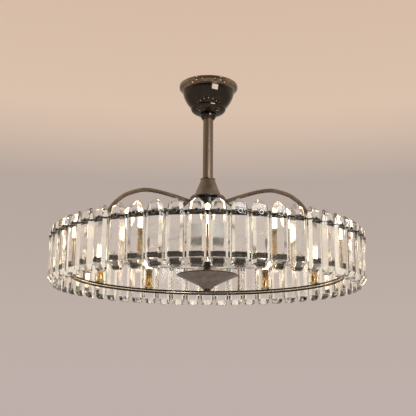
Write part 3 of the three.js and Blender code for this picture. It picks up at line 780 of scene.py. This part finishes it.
def make_lamps():
    low = foot("candle_sleeve_01")
    high = top("candle_sleeve_01")
    sleeve = [
        (0, low),
        (9.6, low),
        (10.3, low + 0.8),
        (10.3, low + 2.4),
        (9.4, low + 3.2),
        (9.1, low + 5),
        (9.1, high - 8),
        (9.5, high - 7),
        (10.1, high - 6.2),
        (10.1, high - 4.4),
        (9.5, high - 3.6),
        (9.5, high - 0.8),
        (8.9, high),
        (7.8, high),
        (7.8, high - 3),
        (0, high - 3),
    ]
    seat = high - 2
    tip = top("bulb_01")
    swell = [(radius, seat + (tip - seat) * share) for radius, share in BULB_SHAPE]
    outline = pairs(rounded_line([(7.4, seat), *swell, (0, tip)], 4))
    bulb = [(0, seat), *outline[:-1], (0, tip)]
    segments = 40
    for lamp in range(LAMPS):
        turn = from_front(lamp * 360 / LAMPS)
        place = Vector((math.cos(turn), math.sin(turn), 0)) * LAMP_RADIUS * MM
        number = f"{lamp + 1:02d}"
        # The sleeves' darker brass is painted shade for their dark middle
        tube = turned(f"sleeve_{number}", sleeve, SHADE_DARKENED_BRASS, segments, sharp=40)
        tube.location = place
        finish_piece(tube, "fixture", "brass", f"candle_sleeve_{number}")
        glass = turned(f"candle_bulb_{number}", bulb, BULB_GLASS, segments, sharp=60)
        glass.location = place
        finish_piece(glass, "fixture", "bulb", f"bulb_{number}")


# Fan

ROTOR_BORE = 14.4


def make_motor():
    high, low = top("motor_housing"), foot("motor_housing")
    wide = reach("motor_housing")
    shell = [
        (ROTOR_BORE, high - 3),
        (ROTOR_BORE, high),
        (wide - 9, high),
        *bowed((wide - 9, high), (wide, high - 7), (0.62, 0.06), 8)[1:],
        (wide, high - 12),
        (wide - 0.8, high - 12.6),
        (wide - 0.8, high - 14.4),
        (wide, high - 15),
        (wide, low + 3),
        (wide - 0.8, low + 2.4),
        (wide - 0.8, low),
        (wide - 3, low),
        (wide - 3, high - 9),
        (wide - 10, high - 3),
    ]
    piece = turned("motor_shell", shell, NICKEL, 96, sharp=40)
    finish_piece(piece, "rotor", "satin_nickel", "motor_housing")
    high, low = top("blade_carrier"), foot("blade_carrier")
    wide = reach("blade_carrier")
    plate = [
        (ROTOR_BORE, low),
        (wide - 1, low),
        (wide, low + 1),
        (wide, high - 1),
        (wide - 1, high),
        (ROTOR_BORE, high),
    ]
    piece = turned("blade_carrier_plate", plate, NICKEL, 96, sharp=40)
    finish_piece(piece, "rotor", "satin_nickel", "blade_carrier")


BLADE_CHORD = 80
BLADE_PITCH = math.pi / 15
BLADE_THICK = 3
BLADE_ROOT = 24
BLADE_ROOT_CHORD = 27
BLADE_TIP = 288
# The screws of a blade, as (distance from the axis, place across the blade)
BLADE_SCREWS = ((34, -8), (34, 8), (52, 0))
# From the carrier's edge to the tip: shares of the way, and shares of chord and pitch at each
BLADE_PLACE_SHARES = [0, 0.08, 0.16, 0.28, 0.4, 0.55, 0.7, 0.82, 0.93, 0.98, 1]
BLADE_CHORD_SHARES = [0.56, 0.63, 0.72, 0.86, 0.96, 1, 1, 0.96, 0.88, 0.76, 0.6]
BLADE_PITCH_SHARES = [0, 0.5, 0.8, 0.94, 1, 0.98, 0.95, 0.9, 0.85, 0.83, 0.82]


def blade_section(radius, height, wide, turn):
    """The outline of a blade at a distance from the axis, with edges thinner than its middle."""
    half = wide / 2
    ring = []
    for across, up in (
        (-half, -0.2), (-half + 3, -0.5), (half - 3, -0.5), (half, -0.2),
        (half, 0.2), (half - 3, 0.5), (-half + 3, 0.5), (-half, 0.2),
    ):
        y = across * math.cos(turn) - up * BLADE_THICK * math.sin(turn)
        z = across * math.sin(turn) + up * BLADE_THICK * math.cos(turn)
        ring.append((radius, y, height + z))
    return ring


def make_blades():
    start = reach("blade_carrier")
    height = foot("blade_carrier") - 0.3 - BLADE_THICK / 2
    rings = [blade_section(BLADE_ROOT, height, BLADE_ROOT_CHORD, 0)]
    for place, wide, turn in zip(BLADE_PLACE_SHARES, BLADE_CHORD_SHARES, BLADE_PITCH_SHARES):
        radius = start + (BLADE_TIP - start) * place
        rings.append(blade_section(radius, height, BLADE_CHORD * wide, BLADE_PITCH * turn))
    builder = bmesh.new()
    sweep_rings(builder, rings)
    piece = add_object("clear_blade_1", builder, ACRYLIC, 50)
    place_round(piece, BLADES, BLADE_FIRST, "clear_blade", "rotor", "clear_blade", "blade")
    base = height - BLADE_THICK / 2
    head = [
        (0, base + 0.4),
        (3.6, base + 0.4),
        (3.6, base - 0.6),
        (2.6, base - 1.6),
        (0, base - 1.9),
    ]
    builder = bmesh.new()
    for blade in range(BLADES):
        turn = from_front(BLADE_FIRST + blade * 360 / BLADES)
        for along, across in BLADE_SCREWS:
            x = along * math.cos(turn) - across * math.sin(turn)
            y = along * math.sin(turn) + across * math.cos(turn)
            add_turned(builder, head, 16, (x, y))
    piece = add_object("blade_screws", builder, STEEL, 40)
    finish_piece(piece, "rotor", "steel")


# The sweep of the dish and of the cone over it: shares of the rim's radius and of the height
DISH_SWEEP = [(0.72, 0.29), (0.45, 0.56), (0.25, 0.8)]
COVER_SWEEP = [(0.72, 0.16), (0.34, 0.5), (0.19, 0.78)]


def make_dish():
    high, low = top("dish"), foot("dish")
    wide = reach("dish")
    rim = high - 1.1
    tall = rim - low
    bore = 4.3
    middle = [(wide * out, rim - tall * down) for out, down in DISH_SWEEP]
    outside = pairs(rounded_line([(wide - 0.6, rim), *middle, (12.5, low)], 8))
    profile = [
        (bore, low),
        *reversed(outside),
        (wide - 0.6, rim + 0.5),
        (wide - 1.2, rim + 1.1),
        (wide - 1.8, rim + 1.0),
        *shifted(outside[2:-2], 0, 2.3),
        (11.6, low + 1.8),
        (bore, low + 1.8),
    ]
    # The dish's paler plating is painted reflection of the lit room below
    piece = turned("bottom_dish", profile, REFLECTION_LIT_DISH_PLATING, 128, sharp=50)
    finish_piece(piece, "fixture", "gunmetal", "dish")
    lip = [
        (wide - 0.6, rim - 0.4),
        (wide - 0.1, rim - 0.3),
        (wide, rim + 0.1),
        (wide - 0.2, rim + 0.7),
        (wide - 0.6, rim + 0.9),
    ]
    piece = turned("dish_lip", lip, RING_METAL, 128, sharp=50)
    finish_piece(piece, "fixture", "gunmetal")


def make_dish_cover():
    high, low = top("dish_cover"), foot("dish_cover")
    wide = reach("dish")
    tall = high - low
    wall = 1.8
    edge = wide - wall
    bore = 8.3
    middle = [(wide * out, low + tall * up) for out, up in COVER_SWEEP]
    outside = pairs(rounded_line([(edge, low + 1.1), *middle, (10.5, high)], 8))
    profile = [
        (bore, high),
        *reversed(outside),
        (edge, low),
        (edge - wall, low),
        *shifted(outside[4:-3], 0, -2.2),
        (bore, high - wall),
    ]
    piece = turned("dish_cover_cone", profile, GUNMETAL, 128, sharp=50)
    finish_piece(piece, "fixture", "gunmetal", "dish_cover")


def make_finial():
    high, low = top("finial"), foot("finial")
    wide = reach("finial")
    tall = high - low
    shape = [
        (wide * 0.8, high), (wide * 0.94, high - tall * 0.14), (wide, high - tall * 0.4),
        (wide * 0.86, high - tall * 0.72), (wide * 0.5, high - tall * 0.94), (0, low),
    ]
    outline = pairs(rounded_line(shape, 5))
    profile = [(0, high), *outline[:-1], (0, low)]
    piece = turned("finial_knob", profile, SHADE_DARKENED_PLATING, 48, sharp=50)
    finish_piece(piece, "fixture", "gunmetal", "finial")


# CAD nodes that stay, with their finish

KEPT_LOOKS = {
    "ceiling_bracket": STEEL,
    "hanger_ball": BLACK,
    "hanger_pin": STEEL,
    "rod_coupling": STEEL,
    "coupling_pin": STEEL,
    "motor_shaft": STEEL,
    "stator": COPPER,
    "magnet_ring": FERRITE,
    "bearing_upper": STEEL,
    "bearing_lower": STEEL,
}


def finish_kept_nodes():
    for node, look in KEPT_LOOKS.items():
        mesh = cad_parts[node].data
        mesh.materials.clear()
        mesh.materials.append(look)


# Studio

# Half the floor's width in millimetres, and how far the ceiling is over it in metres
FLOOR_REACH = 30000
ROOM_HEIGHT = 2.6


def make_floor():
    builder = bmesh.new()
    bmesh.ops.create_grid(builder, x_segments=4, y_segments=4, size=FLOOR_REACH)
    material, tree, shader = new_material("pale_floor")
    colour = ramp(tree, noise(tree, 3), (0.58, 0.55, 0.52), (0.62, 0.59, 0.56))
    tree.links.new(colour, shader.inputs["Base Color"])
    shader.inputs["Roughness"].default_value = 0.9
    floor = add_object("studio_floor", builder, material)
    floor.location.z = -ROOM_HEIGHT


# Stops of the rooms that the camera, the gloss and the glass see: place from straight down (0) to
# straight up (1), then the colour
SEEN_ROOM = [
    (0.0, (0.36, 0.31, 0.29)),
    (0.49, (0.52, 0.434, 0.41)),
    (0.545, (0.515, 0.434, 0.381)),
    (0.595, (0.479, 0.402, 0.356)),
    (0.634, (0.474, 0.393, 0.347)),
    (0.664, (0.65, 0.5, 0.4)),
    (0.68, (0.71, 0.54, 0.42)),
    (0.74, (0.68, 0.51, 0.39)),
    (1.0, (0.56, 0.43, 0.34)),
]
GLOSS_ROOM = [
    (0.0, (0.1, 0.085, 0.07)),
    (0.3, (0.2, 0.165, 0.14)),
    (0.42, (0.42, 0.36, 0.31)),
    (0.55, (0.5, 0.43, 0.36)),
    (0.75, (0.72, 0.6, 0.48)),
    (1.0, (0.9, 0.75, 0.6)),
]
GLASS_ROOM = [
    (0.0, (0.6, 0.53, 0.46)),
    (0.3, (0.85, 0.78, 0.7)),
    (0.44, (0.8, 0.72, 0.65)),
    (0.52, (0.56, 0.48, 0.43)),
    (0.66, (0.62, 0.52, 0.45)),
    (0.69, (0.5, 0.42, 0.36)),
    (0.705, (0.1, 0.075, 0.06)),
    (0.755, (0.1, 0.075, 0.06)),
    (0.77, (0.85, 0.75, 0.65)),
    (1.0, (1.0, 0.9, 0.78)),
]
# The paler room that the glass sees at its sides. It takes over from the one ahead, with its dark
# belt of ceiling, between these shares of the way to the side
SIDE_ROOM = [
    (0.0, (0.7, 0.62, 0.53)),
    (0.3, (0.95, 0.86, 0.74)),
    (0.52, (0.75, 0.66, 0.56)),
    (0.66, (0.85, 0.74, 0.6)),
    (1.0, (1.0, 0.9, 0.76)),
]
SIDE_ROOM_RANGE = (0.3, 0.55)
# Tall streaks of lamplight that the glass sees all round but straight ahead, below the belt, by the
# value of a stretched noise. They fade out over a range of directions ahead (Y) and upwards (Z)
GLASS_STREAKS = [
    (0.36, (0.42, 0.31, 0.2)),
    (0.43, (0.68, 0.56, 0.45)),
    (0.52, (0.85, 0.75, 0.62)),
    (0.58, (1.15, 1.05, 0.85)),
    (0.65, (0.78, 0.65, 0.47)),
]
STREAK_SCALE = 3.2
STREAK_TALLNESS = 0.12
STREAK_SHARE = 0.85
STREAK_AHEAD_RANGE = (0.8, 0.93)
STREAK_UP_RANGE = (0.34, 0.41)
# The gloss sees a darker room behind the camera: its strength there, and the directions (Y) between
# which it rises to full
FRONT_SHADE = 0.2
FRONT_SHADE_RANGE = (-0.85, 0.0)
# Plain light for everything that isn't seen, glossed or looked through
AMBIENT_COLOUR = (1.0, 0.96, 0.92, 1)
AMBIENT_STRENGTH = 0.55


def make_world():
    world = bpy.data.worlds.new("studio")
    bpy.context.scene.world = world
    world.use_nodes = True
    tree = world.node_tree
    tree.nodes.clear()
    output = tree.nodes.new("ShaderNodeOutputWorld")
    rays = tree.nodes.new("ShaderNodeLightPath")
    coords = tree.nodes.new("ShaderNodeTexCoord")
    split = tree.nodes.new("ShaderNodeSeparateXYZ")
    tree.links.new(coords.outputs["Generated"], split.inputs["Vector"])

    def spread(socket, low, high, span):
        """Runs from low to high while the socket's value crosses the span."""
        node = tree.nodes.new("ShaderNodeMapRange")
        node.inputs["From Min"].default_value = span[0]
        node.inputs["From Max"].default_value = span[1]
        node.inputs["To Min"].default_value = low
        node.inputs["To Max"].default_value = high
        tree.links.new(socket, node.inputs["Value"])
        return node.outputs["Result"]

    def room(stops, strength=None, value=None):
        """A background coloured by its stops, along the height or another value."""
        sky = tree.nodes.new("ShaderNodeValToRGB")
        while len(sky.color_ramp.elements) < len(stops):
            sky.color_ramp.elements.new(1.0)
        for element, (place, colour) in zip(sky.color_ramp.elements, stops):
            element.position = place
            element.color = (*colour, 1)
        tree.links.new(value or height, sky.inputs["Fac"])
        background = tree.nodes.new("ShaderNodeBackground")
        tree.links.new(sky.outputs["Color"], background.inputs["Color"])
        if strength:
            tree.links.new(strength, background.inputs["Strength"])
        return background.outputs["Background"]

    def choose(share, otherwise, when):
        mix = tree.nodes.new("ShaderNodeMixShader")
        tree.links.new(share, mix.inputs["Fac"])
        tree.links.new(otherwise, mix.inputs[1])
        tree.links.new(when, mix.inputs[2])
        return mix.outputs["Shader"]

    def product(first, second):
        node = tree.nodes.new("ShaderNodeMath")
        node.operation = "MULTIPLY"
        tree.links.new(first, node.inputs[0])
        tree.links.new(second, node.inputs[1])
        return node.outputs["Value"]

    def streaked_glass():
        mapping = tree.nodes.new("ShaderNodeMapping")
        mapping.inputs["Scale"].default_value = (1, 1, STREAK_TALLNESS)
        texture = tree.nodes.new("ShaderNodeTexNoise")
        texture.inputs["Scale"].default_value = STREAK_SCALE
        texture.inputs["Detail"].default_value = 3
        tree.links.new(coords.outputs["Generated"], mapping.inputs["Vector"])
        tree.links.new(mapping.outputs["Vector"], texture.inputs["Vector"])
        streaks = room(GLASS_STREAKS, value=texture.outputs["Fac"])
        ahead = spread(split.outputs["Y"], STREAK_SHARE, 0.0, STREAK_AHEAD_RANGE)
        below = spread(split.outputs["Z"], 1.0, 0.0, STREAK_UP_RANGE)
        away = tree.nodes.new("ShaderNodeMath")
        away.operation = "ABSOLUTE"
        tree.links.new(split.outputs["X"], away.inputs[0])
        aside = spread(away.outputs["Value"], 0.0, 1.0, SIDE_ROOM_RANGE)
        plain = choose(aside, room(GLASS_ROOM), room(SIDE_ROOM))
        return choose(product(ahead, below), plain, streaks)

    height = spread(split.outputs["Z"], 0.0, 1.0, (-1.0, 1.0))
    front = spread(split.outputs["Y"], FRONT_SHADE, 1.0, FRONT_SHADE_RANGE)
    light = tree.nodes.new("ShaderNodeBackground")
    light.inputs["Color"].default_value = AMBIENT_COLOUR
    light.inputs["Strength"].default_value = AMBIENT_STRENGTH
    kinds = rays.outputs
    shader = choose(kinds["Is Glossy Ray"], light.outputs["Background"], room(GLOSS_ROOM, front))
    shader = choose(kinds["Is Transmission Ray"], shader, streaked_glass())
    shader = choose(kinds["Is Camera Ray"], shader, room(SEEN_ROOM))
    tree.links.new(shader, output.inputs["Surface"])


def add_lamp(name, place, aim, size, power, colour, glossy=False):
    """An area lamp, in metres. The glass doesn't see it, and the gloss only if glossy says so."""
    data = bpy.data.lights.new(name, "AREA")
    data.shape = "RECTANGLE"
    data.size, data.size_y = size
    data.energy = power
    data.color = colour
    lamp = bpy.data.objects.new(name, data)
    lamp.location = place
    lamp.rotation_euler = (Vector(aim) - Vector(place)).to_track_quat("-Z", "Y").to_euler()
    lamp.visible_transmission = False
    lamp.visible_glossy = glossy
    bpy.context.scene.collection.objects.link(lamp)


def make_lights():
    canopy = (0, 0, -0.05)
    middle = (0, 0, -0.42)
    white = (0.99, 0.99, 1.0)
    add_lamp("window", (1.1, -1.7, 1.35), canopy, (1.1, 0.7), 28, (1.0, 0.99, 0.97))
    # The small lamp that the canopy's bowl shows as its white highlight
    add_lamp("glint", (0.43, -0.8, -0.165), canopy, (0.42, 0.3), 3.2, white, glossy=True)
    add_lamp("fill", (-2.4, -1.6, 0.3), middle, (0.6, 1.4), 8, (1.0, 0.95, 0.88))
    add_lamp("back", (0.6, 2.6, 0.5), middle, (1.8, 0.9), 10, (1.0, 0.95, 0.9))


# The photograph's camera, below the ring and tilted up. Its distance and height are in millimetres,
# its angles in degrees
PHOTO_SIZE = 416
SENSOR_WIDTH = 36
FOCAL_PIXELS = 731
CAMERA_DISTANCE = 1858
CAMERA_HEIGHT = -782
CAMERA_TILT = 13.39
CAMERA_TURN = -0.03
CAMERA_ROLL = 0.4


def make_camera():
    data = bpy.data.cameras.new("photo_camera")
    data.sensor_width = SENSOR_WIDTH
    data.lens = SENSOR_WIDTH * FOCAL_PIXELS / PHOTO_SIZE
    camera = bpy.data.objects.new("photo_camera", data)
    camera.location = (0, -CAMERA_DISTANCE * MM, CAMERA_HEIGHT * MM)
    aim = Matrix.Rotation(math.radians(CAMERA_TURN), 4, "Z")
    aim @= Matrix.Rotation(math.radians(90 + CAMERA_TILT), 4, "X")
    aim @= Matrix.Rotation(math.radians(CAMERA_ROLL), 4, "Z")
    camera.rotation_euler = aim.to_euler()
    bpy.context.scene.collection.objects.link(camera)
    bpy.context.scene.camera = camera


make_camera()
make_world()
make_lights()
make_floor()
make_canopy()
make_collar()
make_rod()
make_cone()
make_arms()
make_hub()
make_crystals()
make_crystal_ring()
make_lamp_ring()
make_lamps()
make_motor()
make_blades()
make_dish()
make_dish_cover()
make_finial()
finish_kept_nodes()

bpy.context.scene.view_settings.view_transform = "Standard"
